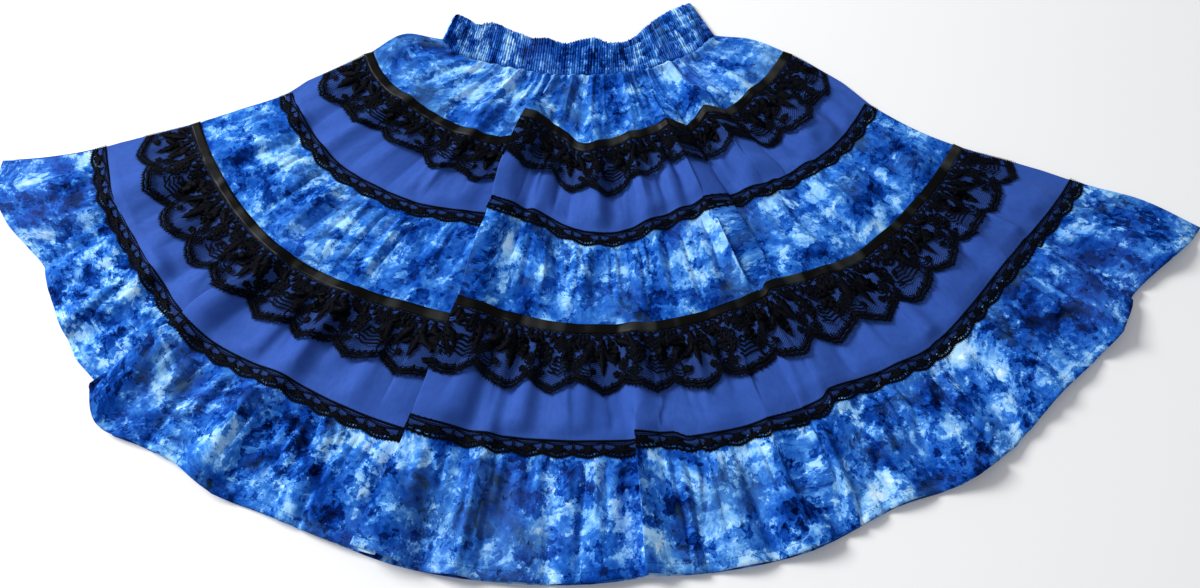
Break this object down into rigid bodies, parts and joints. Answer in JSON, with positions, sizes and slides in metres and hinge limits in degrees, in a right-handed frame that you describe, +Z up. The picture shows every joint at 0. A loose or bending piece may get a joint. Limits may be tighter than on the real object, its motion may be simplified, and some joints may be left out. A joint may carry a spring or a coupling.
{
  "type": "square dance skirt",
  "caption": "Tiered pull-on skirt laid flat in a fan, with shirred waistband, gathered printed and plain tiers, ribbon and lace trims.",
  "frame": {"origin": "bottom centre of the laid skirt's box, on the surface that it lies on", "axes": "+X to the right across the fan, +Y from the hem to the waistband, +Z up"},
  "size_m": [1.1125, 0.5916, 0.0223],
  "materials": {
    "printed_cotton": "matt woven cotton, mottled blue print",
    "plain_blue_cotton": "matt woven cotton, plain",
    "satin_ribbon": "black satin",
    "black_lace": "black floral lace on fine net"
  },
  "bodies": {
    "root": {"waistband": "printed_cotton", "tier_one": "printed_cotton", "tier_two": "plain_blue_cotton", "tier_three": "printed_cotton", "tier_four": "plain_blue_cotton", "tier_five": "printed_cotton", "ribbon_one": "satin_ribbon", "ribbon_two": "satin_ribbon", "narrow_lace_one": "black_lace", "narrow_lace_two": "black_lace", "wide_lace_one": "black_lace", "wide_lace_two": "black_lace"}
  },
  "joints": []
}
